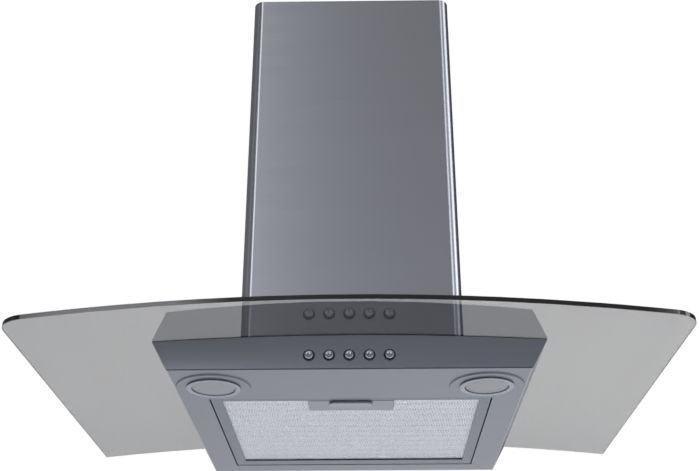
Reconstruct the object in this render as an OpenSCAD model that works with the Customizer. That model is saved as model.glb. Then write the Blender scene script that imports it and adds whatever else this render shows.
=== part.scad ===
// Chimney range hood with a curved glass canopy, held on a wall.
// Units are millimetres. +X is to the right, +Y points into the wall and +Z is up.
// The origin is the middle of the wall bracket's four screw holes, on the wall's surface.

/* [Glass canopy] */
// Width of the glass
glass_w = 700; // [600:10:900]
// Depth of the glass, from the wall to the middle of its front edge
glass_d = 520; // [480:5:620]
// Thickness of the glass
glass_t = 5; // [4:0.5:8]
// Radius that the glass is bent to, about a line that runs from front to back
bend_r = 3430; // [2500:10:6000]
// Radius of the bowed front edge, seen from above
bow_r = 6130; // [3000:10:9000]
// Radius of the two front corners
glass_corner_r = 25; // [5:1:60]

/* [Body under the glass] */
// Width of the body where it meets the glass
body_w = 430; // [400:1:560]
// How far each side slants in between the glass and the underside
body_slant = 21.5; // [5:0.5:30]
// Height of the body, from the glass to the underside
body_h = 39; // [36:1:60]
// Distance from the wall to the front of the fascia
body_d = 424; // [410:1:500]
// Thickness of the steel sheet
sheet = 1; // [0.8:0.1:1.5]
// Thickness of the fascia's steel
fascia_t = 1.2; // [1:0.1:2]
// Thickness of the foam gasket under the glass
gasket_t = 1; // [0.8:0.1:3]
// Width of the foam gasket
gasket_w = 10; // [6:1:14]

/* [Grease filter] */
// Width of the opening that the filter closes
filter_w = 322; // [260:1:330]
// Length of the opening, from front to back
filter_l = 292; // [240:1:300]
// Distance from the wall to the rear edge of the opening
filter_back = 32; // [28:1:60]
// Thickness of the filter
filter_t = 10; // [8:0.5:12]
// How far the latch slides back
latch_travel = 6; // [4:0.5:7]
// Width of the plate that holds the latch
latch_plate_w = 98; // [92:1:130]

/* [Lamps] */
// Distance between the two lamps
lamp_pitch = 300; // [280:1:310]
// Distance from the wall to the lamps
lamp_back = 369; // [365:1:372]
// Radius of the pressed ring around a lamp
lamp_ring_r = 41; // [36:0.5:42]
// Radius of the lamp's trim ring
lamp_bezel_r = 30; // [26:0.5:33]
// Radius of the glass that shows inside the trim ring
lamp_lens_r = 23.8; // [18:0.1:24]

/* [Push buttons] */
// Radius of a button
button_r = 4.8; // [4:0.1:6]
// Distance between two buttons
button_pitch = 21.4; // [16:0.1:24]
// Depth of the buttons' row below the glass
button_drop = 23.7; // [20:0.1:25]
// How far a button is pressed in
button_travel = 3; // [1.5:0.1:4]
// How far a button stands out of the fascia
button_stand = 4; // [3.5:0.1:8]

/* [Flue] */
// Width of the flue
flue_w = 280; // [270:1:340]
// Depth of the flue, from the wall to its front
flue_d = 250; // [245:1:300]
// Height of the flue's top above the glass
flue_h = 585; // [480:5:900]
// Outer radius of the flue's two front corners
flue_corner_r = 14; // [6:1:20]
// Height of the upper flue section, which stands inside the lower one
upper_h = 545; // [440:5:860]

/* [Blower] */
// Space between the flue's sides and the blower box
blower_side_gap = 29; // [28:1:40]
// Height of the blower box above the glass
blower_h = 262; // [250:1:320]
// Radius of the impeller
impeller_r = 67; // [55:1:68]
// Width of the impeller
impeller_w = 72; // [50:1:76]
// Radius of the motor
motor_r = 38; // [30:1:40]
// Radius of the motor's shaft
shaft_r = 4; // [3:0.5:6]
// Outer radius of the outlet collar, which takes the duct
collar_r = 60; // [50:0.5:75]
// Length of the collar that the duct slides over
collar_l = 34; // [25:1:60]

/* [Wall bracket] */
// Height of the wall screws above the glass
bracket_z = 204; // [190:1:215]
// Distance between the two columns of wall screws
wall_pitch_x = 236; // [230:1:240]
// Distance between the two rows of wall screws
wall_pitch_z = 32; // [20:1:36]
// Radius of the wall screws' holes
wall_hole_r = 3.5; // [2.5:0.1:4]

/* [Hidden] */
$fn = 64;

// Colours
steel = "#8A909A";
dark_steel = "#6C727C";
zinc = "#A9ADB1";
black = "#202224";
chrome = "#D5D8DC";
aluminium = "#B9BEC8";
clear_glass = [0.69, 0.70, 0.71, 0.45];
frosted = "#D8DCDF";
plastic = "#2B2D30";
white_plastic = "#E4E4E0";

// Clearances
slip = 0.1;        // between pieces that slide or turn in each other
seam = 0.4;        // visible gap between two pieces of the body
free = 1.3;        // around the filter, so that it swings out
touch = 0.05;      // between pieces that rest on each other along a curve
wall_gap = 1;      // between the wall and the body
gasket_in = 0.4;   // how far the gasket stays inside the body's outline
fascia_lift = 1;   // how far the fascia stops above the underside
round_fn = 720;    // for the very large radii

// Body, below the glass
body_front = -body_d;
plate_top = -body_h + sheet;
inner_front = body_front + fascia_t;
body_back = -wall_gap;

// Filter
flange_h = filter_t + 2;
filter_front = -filter_back - filter_l;
filter_y0 = filter_front + free;
filter_y1 = -filter_back - 1.5;
filter_z0 = -body_h + 0.4;
filter_z1 = filter_z0 + filter_t;
frame_side = 14;                       // width of the frame's lower edge along the sides
frame_back = 22;                       // the same at the back
frame_front = 9;                       // the same at the front
hinge_y = -filter_back - 5.2;
hinge_z = -body_h + 1.9;
tab_x = 100;                           // the two rear tabs stand at this distance from the middle
tab_w = 20;
tab_l = 8;
tab_t = 1.2;
window_x = filter_w / 2 - frame_side;  // half the width of the mesh that shows
window_y0 = filter_front + frame_front;
window_y1 = -filter_back - frame_back;
mesh_t = 1.2;
mesh_z0 = filter_z0 + sheet + 0.1;
mesh_z1 = filter_z1 - sheet - 0.1;

// Latch, inside the filter's front edge
latch_plate_l = 35;
latch_y0 = window_y0 + 1;
latch_y1 = latch_y0 + latch_plate_l;
latch_pad_w = 50;
latch_pad_l = 15;
latch_pad_h = 2.4;
latch_stem_w = 34;
latch_stem_l = 6;
latch_body_l = 25;
latch_floor = filter_z0 + sheet;
tongue_w = 24;
tongue_t = 1.5;
tongue_z = latch_floor + 0.3;
ear_w = 17;
ear_l = 4;
latch_body_w = latch_pad_w + 3;
latch_spring_r = 2.2;
latch_spring_x = latch_body_w / 2 + ear_w / 2;
latch_spring_z = latch_floor + 4.2;
spring_wire_r = 0.35;

// Lamps
dish_h = 1.4;                          // how far the pressed ring stands out
dish_wall = 0.6;                       // slope of its wall
dish_z = -body_h - dish_h;
bezel_hole_r = lamp_bezel_r - 1.8;
bezel_t = 1.8;
lens_back = 1.2;                       // how far the glass is set back in its trim ring
collar_h = 7;
lamp_top = -sag(lamp_pitch / 2 + 10) - gasket_t - sheet - 1.5;
lamp_room = lamp_top - dish_z - sheet - collar_h;
reflector_h = lamp_room * 0.55;
holder_h = lamp_room - reflector_h - 0.6;
holder_r = 8;
bulb_r = 4.5;

// Buttons
button_xs = [-2, -1, 0, 1, 2] * button_pitch;
ring_r = button_r + 1.2;
cap_back = body_front + fascia_t + 4;
pocket_floor = cap_back + button_travel + 6;
stem_r = 2.2;
stem_end = pocket_floor + 5.5;
housing_front = inner_front + 0.3;
housing_half = 2 * button_pitch + 12;
housing_half_h = 9;
housing_floor_t = 3;
board_y = stem_end + button_travel + 6.5;
board_t = 1.6;
button_spring_r = 3.2;
switch_stud_x = housing_half + 6;
switch_stud_r = 1.5;

// Glass fixings
glass_screw_x = body_w / 2 - 25;
glass_screw_ys = [-40, -370];
glass_hole_r = 6;
glass_screw_r = 2.5;

// Fascia studs
stud_r = 2;
stud_h = 6;
stud_xs = [-1, 1] * (body_w / 2 - 95);
stud_y = inner_front + 7;
fascia_lip = 12;                       // depth of the fascia's turned-in edges

// Blower box
blower_x = flue_w / 2 - blower_side_gap;
blower_y0 = -flue_d + 29;
blower_y1 = -6;
flange_w = 12;
notch_gap = 5;                         // between the blower box and the notch in the glass
scroll_x = impeller_w / 2 + 8;
fan_y = blower_y0 + 96;
fan_z = 108;
scroll_t = 1.5;
outlet_y0 = fan_y - 14;
outlet_y1 = fan_y + 98;
outlet_y = (outlet_y0 + outlet_y1) / 2;
outlet_top = blower_h - sheet - 1;
inlet_r = impeller_r - 13;
motor_gap = 8;                         // length of the rubber bushes between the motor and the scroll
motor_x1 = -scroll_x - motor_gap;
motor_x0 = motor_x1 - 36;
cap_t = 5;
rotor_r = motor_r - 13;
bearing_r = shaft_r + 4;
bearing_l = 8;
motor_ear_r = motor_r + 10;

// Outlet collar
collar_wall = 2.5;
collar_z = blower_h;
collar_flange_t = 3;
flap_z = collar_z + collar_flange_t + 14;
flap_x = 3.5;
flap_t = 1.4;
pin_r = 1.25;
barrel_r = 2.5;

// Terminal box
term_w = 22;
term_y = -85;
term_half = 34;
term_z0 = 145;
term_h = 72;
gland_r = 4.5;
gland_l = 16;

// Flue
nest_gap = 0.4;                        // between the two flue sections
flue_foot = bend_r + glass_t + 0.3;    // the flue's foot follows the glass at this radius
return_w = 10;                         // width of the flue's turned-in rear edges
upper_z0 = flue_h - 10 - upper_h;

// Wall bracket
bracket_t = 2;
bracket_half = flue_w / 2 - return_w - 5;
bracket_z0 = bracket_z - wall_pitch_z / 2 - 9;
bracket_z1 = bracket_z + wall_pitch_z / 2 + 9;
hook_x = 60;
hook_w = 36;
hook_in = 3;                           // how far the hook reaches inside the blower box
hook_up = 12;

// How far a surface of the given radius falls at a distance from the middle
function drop(x, r) = r - sqrt(r * r - x * x);
function sag(x) = drop(x, bend_r);
// Half the body's width at a height below the glass
function side_x(z) = body_w / 2 + body_slant * z / body_h;

// Moves a piece drawn from the glass's underside to the wall bracket's frame
module hood() translate([0, 0, -bracket_z]) children();
// A cylinder along X, Y or the given height, from one end to the other
module rod_x(r, x0, x1) translate([x0, 0, 0]) rotate([0, 90, 0]) cylinder(r = r, h = x1 - x0);
module rod_y(r, y0, y1) translate([0, y1, 0]) rotate([90, 0, 0]) cylinder(r = r, h = y1 - y0);
module rod_z(r, z0, z1) translate([0, 0, z0]) cylinder(r = r, h = z1 - z0);
module block(x0, x1, y0, y1, z0, z1) translate([x0, y0, z0]) cube([x1 - x0, y1 - y0, z1 - z0]);
// The inside of the bend, at a distance below the glass's underside
module bend(below) {
    translate([0, 20, -bend_r]) rotate([90, 0, 0]) cylinder(r = bend_r - below, h = glass_d + 40,
        $fn = round_fn);
}
// The body's cross-section, moved in by an inset, from one depth to the other
module body_prism(inset, z_low, y0, y1) {
    in = inset / cos(atan(body_slant / body_h));
    z_high = 5;
    translate([0, y1, 0]) rotate([90, 0, 0]) linear_extrude(y1 - y0)
        polygon([[-side_x(z_low) + in, z_low], [side_x(z_low) - in, z_low],
            [side_x(z_high) - in, z_high], [-side_x(z_high) + in, z_high]]);
}
module hex_nut(across, hole_r, h) difference() {
    cylinder(r = across / 2 / cos(30), h = h, $fn = 6);
    translate([0, 0, -1]) cylinder(r = hole_r, h = h + 2);
}
// A pan head screw that points down from z = 0
module pan_screw(r, l, head_r, head_h) {
    rod_z(r, -l, 0.1);
    difference() {
        union() {
            rod_z(head_r, 0, head_h * 0.6);
            translate([0, 0, head_h * 0.6]) cylinder(r1 = head_r, r2 = head_r * 0.7, h = head_h * 0.4);
        }
        translate([0, 0, head_h * 0.5]) cylinder(r = head_r * 0.4, h = head_h, $fn = 6);
    }
}
// A helical spring from z = 0, made of rings of points along the coil
module coil_spring(coil_r, wire_r, length, turns, sides = 6, steps = 12) {
    n = turns * steps;
    points = [for (i = [0:n]) for (j = [0:sides - 1])
        let (a = 360 * i / steps, b = 360 * j / sides, r = coil_r + wire_r * cos(b))
        [r * cos(a), r * sin(a), wire_r + (length - 2 * wire_r) * i / n + wire_r * sin(b)]];
    faces = concat([[for (j = [0:sides - 1]) j]], [[for (j = [sides - 1:-1:0]) n * sides + j]],
        [for (i = [0:n - 1]) for (j = [0:sides - 1]) for (half = [0, 1])
            let (low = i * sides, high = low + sides, k = (j + 1) % sides)
            half == 0 ? [low + j, high + j, high + k] : [low + j, high + k, low + k]]);
    polyhedron(points, faces);
}

// ---- Glass canopy ----
// The glass seen from above: a straight rear edge, two sides, and a bowed front edge between two rounds
bow_y = bow_r - glass_d;
corner_x = glass_w / 2 - glass_corner_r;
corner_y = bow_y - sqrt(pow(bow_r - glass_corner_r, 2) - corner_x * corner_x);
corner_turn = 90 - atan(corner_x / (bow_y - corner_y));
corner_steps = 10;
bow_steps = 24;
bow_end = corner_x + glass_corner_r * cos(corner_turn);
function corner_round(s) = [for (i = [0:corner_steps]) let (a = corner_turn * i / corner_steps)
    [s * (corner_x + glass_corner_r * cos(a)), corner_y - glass_corner_r * sin(a)]];
function bow_edge() = [for (i = [1:bow_steps - 1]) let (x = bow_end * (1 - 2 * i / bow_steps))
    [x, bow_y - sqrt(bow_r * bow_r - x * x)]];
function glass_outline() = concat([[glass_w / 2, -wall_gap]], corner_round(1), bow_edge(),
    [for (i = [corner_steps:-1:0]) corner_round(-1)[i]], [[-glass_w / 2, -wall_gap]]);
module canopy_glass() color(clear_glass) hood() difference() {
    intersection() {
        bend(-glass_t);
        translate([0, 0, -60]) linear_extrude(90) polygon(glass_outline());
    }
    bend(0);
    block(-blower_x - notch_gap, blower_x + notch_gap, blower_y0 - notch_gap, 10, -70, 40);
    at_glass_screws() rod_z(glass_hole_r, -20, 20);
}
module glass_gasket() color(black) hood() difference() {
    intersection() {
        body_prism(gasket_in, -20, body_front + gasket_in, body_back - gasket_in);
        bend(touch);
    }
    body_prism(gasket_in + gasket_w, -21, body_front + gasket_in + gasket_w,
        body_back - gasket_in - gasket_w);
    bend(gasket_t);
    block(-blower_x - 1, blower_x + 1, blower_y0 - 1, 0, -30, 10);
}
// The fixings stand square to the glass, each from its underside
module at_glass_screws() for (s = [-1, 1]) for (y = glass_screw_ys)
    translate([0, y, -bend_r]) rotate([0, s * asin(glass_screw_x / bend_r), 0])
        translate([0, 0, bend_r]) children();
module glass_screws() color(chrome) hood() at_glass_screws()
    translate([0, 0, glass_t + 1.6]) pan_screw(glass_screw_r, glass_t + 12, 6, 3.4);
module glass_grommets() color(black) hood() at_glass_screws() difference() {
    union() {
        rod_z(glass_hole_r - slip, -0.6, glass_t + 0.5);
        rod_z(9, glass_t + 0.3, glass_t + 1.5);
    }
    rod_z(glass_screw_r + slip, -2, glass_t + 3);
}
module glass_nuts() color(zinc) hood() at_glass_screws()
    translate([0, 0, -gasket_t - sheet - 4.4]) hex_nut(8, glass_screw_r + slip, 4);

// ---- Body ----
module canopy_shell() color(steel) hood() difference() {
    intersection() {
        body_prism(0, -body_h, inner_front + seam, body_back);
        bend(gasket_t);
    }
    intersection() {
        body_prism(sheet, -body_h - 5, inner_front - 5, body_back - sheet);
        bend(gasket_t + sheet);
    }
    block(-blower_x + flange_w, blower_x - flange_w, blower_y0 + flange_w, blower_y1 - flange_w, -20, 10);
    at_glass_screws() rod_z(glass_screw_r + slip, -20, 10);
    at_blower_screws() rod_z(1.7 + slip, -20, 10);
}
module front_fascia() color(steel) hood() {
    side_in = sheet + 0.3;
    difference() {
        union() {
            intersection() {
                body_prism(0, -body_h + fascia_lift, body_front, inner_front);
                bend(gasket_t);
            }
            difference() {
                intersection() {
                    body_prism(side_in, plate_top + 0.1, inner_front - 0.1, inner_front + fascia_lip);
                    bend(gasket_t + sheet + 1);
                }
                body_prism(side_in + fascia_t, plate_top + 0.1 + fascia_t, inner_front - 1,
                    inner_front + fascia_lip + 1);
                for (x = stud_xs) translate([x, stud_y, 0]) rod_z(stud_r + slip, -body_h, 0);
            }
            for (s = [-1, 1]) translate([s * switch_stud_x, 0, -button_drop])
                rod_y(switch_stud_r, inner_front - 0.1, inner_front + 9);
        }
        for (x = button_xs) translate([x, 0, -button_drop]) rod_y(ring_r, body_front - 1, inner_front + 1);
    }
}
module fascia_nuts() color(zinc) hood() {
    for (x = stud_xs) translate([x, stud_y, plate_top + 0.15 + fascia_t]) hex_nut(7, stud_r + slip, 3);
    for (s = [-1, 1]) translate([s * switch_stud_x, inner_front + 7, -button_drop])
        rotate([90, 0, 0]) hex_nut(5.5, switch_stud_r + slip, 2.4);
}
module lamp_dish() rotate_extrude() polygon([[bezel_hole_r + slip, -dish_h],
    [lamp_ring_r - dish_wall, -dish_h],
    [lamp_ring_r, 0], [lamp_ring_r, sheet], [lamp_ring_r - sheet, sheet],
    [lamp_ring_r - dish_wall - sheet, sheet - dish_h], [bezel_hole_r + slip, sheet - dish_h]]);
module at_lamp(side) translate([side * lamp_pitch / 2, -lamp_back, 0]) children();
module filter_flange() difference() {
    block(-filter_w / 2 - sheet, filter_w / 2 + sheet, filter_front - sheet, -filter_back + sheet,
        -body_h, -body_h + flange_h);
    block(-filter_w / 2, filter_w / 2, filter_front, -filter_back, -body_h - 1, -body_h + flange_h - sheet);
    block(-filter_w / 2 + 4, filter_w / 2 - 4, filter_front + 4, -filter_back, -body_h - 1, 0);
    block(-filter_w / 2, filter_w / 2, -filter_back - 28, -filter_back, -body_h - 1, 0);
    for (s = [-1, 1]) block(s * tab_x - tab_w / 2 - 2, s * tab_x + tab_w / 2 + 2, -filter_back - 1,
        -filter_back + 5,
        hinge_z - tab_t / 2 - 0.4, hinge_z + tab_l - 0.3);
}
module underside_panel() color(dark_steel) hood() {
    difference() {
        intersection() {
            body_prism(sheet + slip, -body_h, inner_front + seam, body_back - sheet - slip);
            block(-glass_w, glass_w, -glass_d, 0, -body_h - 1, plate_top);
        }
        block(-filter_w / 2, filter_w / 2, filter_front, -filter_back, -body_h - 5, 0);
        for (s = [-1, 1]) at_lamp(s) rod_z(lamp_ring_r, -body_h - 5, 0);
    }
    for (s = [-1, 1]) at_lamp(s) translate([0, 0, -body_h]) lamp_dish();
    filter_flange();
    for (x = stud_xs) translate([x, stud_y, 0]) rod_z(stud_r, plate_top - 0.1, plate_top + stud_h);
}

// ---- Push buttons and their switches ----
module at_button(i) translate([button_xs[i - 1], 0, -button_drop]) children();
module button_rings() color(black) hood() for (i = [1:5]) at_button(i) difference() {
    union() {
        rod_y(ring_r - touch, body_front - 0.5, inner_front + 0.2);
        rod_y(ring_r + 0.5, body_front - 0.9, body_front - 0.05);
    }
    rod_y(button_r + slip, body_front - 2, inner_front + 2);
}
module button(i) color(chrome) hood() at_button(i) {
    edge = 0.8;
    rod_y(button_r, body_front - button_stand + edge, cap_back);
    translate([0, body_front - button_stand + edge, 0]) rotate([90, 0, 0])
        cylinder(r1 = button_r, r2 = button_r - edge, h = edge);
    rod_y(stem_r, cap_back - 0.1, stem_end);
}
module button_spring(i) color(zinc) hood() at_button(i) translate([0, cap_back + 0.05, 0])
    rotate([-90, 0, 0])
    coil_spring(button_spring_r, spring_wire_r, pocket_floor - cap_back - 0.1, 5);
module switch_housing() color(plastic) hood() translate([0, 0, -button_drop]) difference() {
    union() {
        block(-housing_half, housing_half, housing_front, board_y + board_t + 1, -housing_half_h,
            housing_half_h);
        for (s = [-1, 1]) translate([s * switch_stud_x, 0, 0]) rod_y(5, housing_front, housing_front + 4);
        block(-switch_stud_x, switch_stud_x, housing_front, housing_front + 4, -5, 5);
    }
    block(-housing_half + 1.5, housing_half - 1.5, pocket_floor + housing_floor_t, board_y + board_t + 2,
        -housing_half_h + 1.5, housing_half_h - 1.5);
    for (x = button_xs) translate([x, 0, 0]) {
        rod_y(button_r + 0.4, housing_front - 1, pocket_floor);
        rod_y(stem_r + slip, housing_front - 1, pocket_floor + housing_floor_t + 1);
    }
    for (s = [-1, 1]) translate([s * switch_stud_x, 0, 0])
        rod_y(switch_stud_r + slip, housing_front - 1, housing_front + 5);
}
module switch_board() color("#2E6B45") hood() translate([0, 0, -button_drop]) {
    block(-housing_half + 1.7, housing_half - 1.7, board_y, board_y + board_t, -housing_half_h + 1.7,
        housing_half_h - 1.7);
    for (x = button_xs) block(x - 3.5, x + 3.5, stem_end + button_travel + 0.4, board_y + 0.1, -3.5, 3.5);
}

// ---- Grease filter ----
module filter_frame() color(aluminium) hood() {
    difference() {
        block(-filter_w / 2 + free, filter_w / 2 - free, filter_y0, filter_y1, filter_z0, filter_z1);
        block(-filter_w / 2 + free + sheet, filter_w / 2 - free - sheet, filter_y0 + sheet,
            filter_y1 - sheet,
            filter_z0 + sheet, filter_z1 - sheet);
        block(-window_x, window_x, window_y0, window_y1, filter_z0 - 1, filter_z1 + 1);
        block(-tongue_w / 2 - 0.3, tongue_w / 2 + 0.3, filter_y0 - 1, filter_y0 + 2, tongue_z - 0.3,
            tongue_z + tongue_t + 0.3);
    }
    for (s = [-1, 1]) block(s * tab_x - tab_w / 2, s * tab_x + tab_w / 2, filter_y1 - 0.5, hinge_y + tab_l,
        hinge_z - tab_t / 2, hinge_z + tab_t / 2);
}
// A layer of the filter's mesh, cut away around the latch
module mesh_layer(z0, z1) difference() {
    in = free + sheet + 0.3;
    block(-filter_w / 2 + in, filter_w / 2 - in, filter_y0 + sheet + 0.3, filter_y1 - sheet - 0.3, z0, z1);
    block(-latch_plate_w / 2 - 0.5, latch_plate_w / 2 + 0.5, filter_y0, latch_y1 + 0.5, z0 - 1, z1 + 1);
}
module filter_mesh_lower() color(aluminium) hood() mesh_layer(mesh_z0, mesh_z0 + mesh_t);
module filter_mesh_core() color("#A4A9AF") hood() mesh_layer(mesh_z0 + mesh_t, mesh_z1 - mesh_t);
module filter_mesh_upper() color(aluminium) hood() mesh_layer(mesh_z1 - mesh_t, mesh_z1);
module filter_latch_plate() color(steel) hood() difference() {
    block(-latch_plate_w / 2, latch_plate_w / 2, latch_y0, latch_y1, filter_z0, filter_z1 - sheet - 0.2);
    block(-latch_plate_w / 2 + sheet, latch_plate_w / 2 - sheet, latch_y0 + sheet, latch_y1 - sheet,
        latch_floor, filter_z1);
    block(-latch_stem_w / 2 - 0.5, latch_stem_w / 2 + 0.5, latch_y0 + sheet + 0.8,
        latch_y0 + sheet + 1.8 + latch_stem_l + latch_travel, filter_z0 - 1, latch_floor + 1);
    block(-tongue_w / 2 - 0.3, tongue_w / 2 + 0.3, latch_y0 - 1, latch_y0 + 2, tongue_z - 0.2,
        tongue_z + tongue_t + 0.3);
}
module filter_latch() color(plastic) hood() {
    grip_y0 = latch_y0 + sheet + 0.3;
    pad_r = latch_pad_l / 2;
    pad_z0 = filter_z0 - slip - latch_pad_h;
    block(-latch_pad_w / 2 + pad_r, latch_pad_w / 2 - pad_r, grip_y0, grip_y0 + latch_pad_l, pad_z0,
        filter_z0 - slip);
    for (s = [-1, 1]) translate([s * (latch_pad_w / 2 - pad_r), grip_y0 + pad_r, 0])
        rod_z(pad_r, pad_z0, filter_z0 - slip);
    block(-latch_stem_w / 2, latch_stem_w / 2, grip_y0 + 1, grip_y0 + 1 + latch_stem_l,
        filter_z0 - slip - 0.1,
        tongue_z + 0.1);
    block(-latch_body_w / 2, latch_body_w / 2, grip_y0, grip_y0 + latch_body_l + 0.5, tongue_z,
        tongue_z + tongue_t);
    block(-tongue_w / 2, tongue_w / 2, filter_front + 0.4, grip_y0 + 1, tongue_z, tongue_z + tongue_t);
    block(-latch_body_w / 2 - ear_w, latch_body_w / 2 + ear_w, grip_y0, grip_y0 + ear_l, tongue_z,
        tongue_z + tongue_t);
    for (s = [-1, 1]) translate([s * latch_spring_x, 0, 0])
        block(-ear_w / 2, ear_w / 2, grip_y0, grip_y0 + ear_l, tongue_z,
            latch_spring_z + latch_spring_r + 0.6);
}
module latch_springs() color(zinc) hood() for (s = [-1, 1])
    translate([s * latch_spring_x, latch_y0 + sheet + 0.35 + ear_l, latch_spring_z]) rotate([-90, 0, 0])
        coil_spring(latch_spring_r - spring_wire_r, spring_wire_r,
            latch_plate_l - 2 * sheet - ear_l - 0.45, 8);

// ---- Lamps ----
module lamp_bezel(side) color(steel) hood() at_lamp(side) translate([0, 0, dish_z]) rotate_extrude()
    polygon([[lamp_lens_r + slip, -bezel_t + 0.4], [lamp_lens_r + 0.8, -bezel_t],
        [lamp_bezel_r - 0.8, -bezel_t],
        [lamp_bezel_r, -bezel_t + 0.8], [lamp_bezel_r, -0.02], [bezel_hole_r, -0.02],
            [bezel_hole_r, collar_h],
        [bezel_hole_r - 1.5, collar_h], [bezel_hole_r - 1.5, 0], [lamp_lens_r + slip, 0]]);
module lamp_lens(side) color(frosted) hood() at_lamp(side) translate([0, 0, dish_z]) rotate_extrude() {
    dome = 0.8;
    face = bezel_t - lens_back;
    dome_r = (lamp_lens_r * lamp_lens_r + dome * dome) / (2 * dome);
    translate([0, 0.05]) square([bezel_hole_r - 1.5 - slip, 1.6]);
    translate([0, -face]) square([lamp_lens_r, face + 0.1]);
    intersection() {
        translate([0, dome_r - face - dome]) circle(r = dome_r, $fn = round_fn);
        translate([0, -face - dome - 1]) square([lamp_lens_r, dome + 1.1]);
    }
}
// Half the width of the reflector's cup at a share of its height
cup_neck = holder_r - 1;
cup_mouth = bezel_hole_r - 4;
function cup(k) = cup_neck + (cup_mouth - cup_neck) * sqrt(1 - k);
module lamp_reflector(side) color(chrome) hood() at_lamp(side) translate([0, 0, dish_z + collar_h])
    rotate_extrude() {
    steps = 8;
    wall = 0.8;
    polygon(concat([for (k = [0:steps]) [cup(k / steps), reflector_h * k / steps]],
        [for (k = [steps:-1:1]) [cup(k / steps) + wall, reflector_h * k / steps]],
        [[cup_mouth + wall + 0.2, wall], [bezel_hole_r - slip, wall], [bezel_hole_r - slip, 0]]));
}
module lamp_bulb(side) color(frosted) hood() at_lamp(side) translate([0, 0, dish_z + collar_h]) {
    rod_z(bulb_r, 1, reflector_h + 1);
    translate([0, 0, 1]) sphere(r = bulb_r);
}
module lamp_holder(side) color(white_plastic) hood() at_lamp(side)
    translate([0, 0, dish_z + collar_h + reflector_h]) difference() {
        rod_z(holder_r, 0.05, holder_h + 0.6);
        rod_z(bulb_r + slip, -1, 1.2);
    }

// ---- Blower ----
module at_blower_screws() for (x = [-1, 1] * (blower_x - 6))
    for (y = [blower_y0 + 30, fan_y, blower_y1 - 30])
    translate([x, y, -sag(blower_x - 6) - gasket_t]) children();
module blower_box() color(zinc) hood() difference() {
    block(-blower_x, blower_x, blower_y0, blower_y1, -10, blower_h);
    difference() {
        block(-blower_x + sheet, blower_x - sheet, blower_y0 + sheet, blower_y1 - sheet, -30,
            blower_h - sheet);
        difference() {
            block(-blower_x, blower_x, blower_y0, blower_y1, -30, 20);
            block(-blower_x + flange_w, blower_x - flange_w, blower_y0 + flange_w, blower_y1 - flange_w,
                -31, 21);
            difference() {
                block(-blower_x - 1, blower_x + 1, blower_y0 - 1, blower_y1 + 1, -32, 22);
                bend(gasket_t - sheet);
            }
        }
    }
    bend(gasket_t);
    translate([0, outlet_y, 0]) rod_z(collar_r - collar_wall, blower_h - 5, blower_h + 5);
    at_blower_screws() rod_z(1.7 + slip, -5, 5);
    for (s = [-1, 1]) block(s * hook_x - hook_w / 2 - 1, s * hook_x + hook_w / 2 + 1, blower_y1 - 3,
        blower_y1 + 3,
        bracket_z1 - bracket_t - hook_up - 3, bracket_z1 + touch);
}
module blower_screws() color(zinc) hood() at_blower_screws() translate([0, 0, -sheet - 0.2])
    rotate([180, 0, 0])
    pan_screw(1.7, 6, 3.5, 2.2);
// The scroll's outline around the fan, moved in by a wall, seen from the right
function scroll_points(in) = concat(
    [[outlet_y0 - fan_y + in, outlet_top - fan_z]],
    [for (a = [0:10:250]) let (r = impeller_r + 7 + 24 * a / 250 - in) [-r * sin(a + 20), r * cos(a + 20)]],
    [[outlet_y1 - fan_y - in, outlet_top - fan_z]]);
module scroll_solid(in, x0, x1) translate([x0, fan_y, fan_z]) rotate([90, 0, 90]) linear_extrude(x1 - x0)
    polygon(scroll_points(in));
module scroll_right() color(zinc) hood() difference() {
    scroll_solid(0, 0.02, scroll_x);
    difference() {
        scroll_solid(scroll_t, -1, scroll_x - scroll_t);
        block(-200, 200, -400, 0, outlet_top + 1, 400);
    }
    block(-1, scroll_x - scroll_t, outlet_y0 + scroll_t, outlet_y1 - scroll_t, outlet_top - 20,
        outlet_top + 5);
    translate([0, fan_y, fan_z]) rod_x(inlet_r + 3, 0, scroll_x + 5);
}
module scroll_left() color(zinc) hood() difference() {
    scroll_solid(0, -scroll_x, -0.02);
    scroll_solid(scroll_t, -scroll_x + scroll_t, 1);
    block(-scroll_x + scroll_t, 1, outlet_y0 + scroll_t, outlet_y1 - scroll_t, outlet_top - 20,
        outlet_top + 5);
    translate([0, fan_y, fan_z]) rod_x(bearing_r + 2, -scroll_x - 5, 0);
    at_motor_screws() rod_x(2 + slip, -scroll_x - 5, -scroll_x + 5);
}
module inlet_ring() color(black) hood() translate([0, fan_y, fan_z]) rotate([0, 90, 0])
    translate([0, 0, scroll_x])
    rotate_extrude() polygon([[inlet_r, -3], [inlet_r + 1.5, -3], [inlet_r + 2.9, -1],
        [inlet_r + 2.9, touch],
        [inlet_r + 10, touch], [inlet_r + 10, 2], [inlet_r + 3, 2], [inlet_r, 0]]);
module impeller() color(dark_steel) hood() translate([0, fan_y, fan_z]) difference() {
    union() {
        rod_x(impeller_r - 1, -impeller_w / 2, -impeller_w / 2 + 1.5);
        rod_x(shaft_r + 5, -impeller_w / 2, -impeller_w / 2 + 22);
        difference() {
            rod_x(impeller_r, impeller_w / 2 - 2, impeller_w / 2);
            rod_x(impeller_r - 11, impeller_w / 2 - 3, impeller_w / 2 + 1);
        }
        for (a = [0:12:348]) rotate([a, 0, 0]) translate([0, impeller_r - 6.5, 0]) rotate([30, 0, 0])
            block(-impeller_w / 2 + 1, impeller_w / 2 - 1, -5, 5, -0.5, 0.5);
    }
    rod_x(shaft_r + 0.02, -impeller_w, -impeller_w / 2 + 20);
}
module at_motor_screws() for (a = [90, 210, 330]) translate([0, fan_y, fan_z]) rotate([a, 0, 0])
    translate([0, motor_ear_r - 4, 0]) children();
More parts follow.
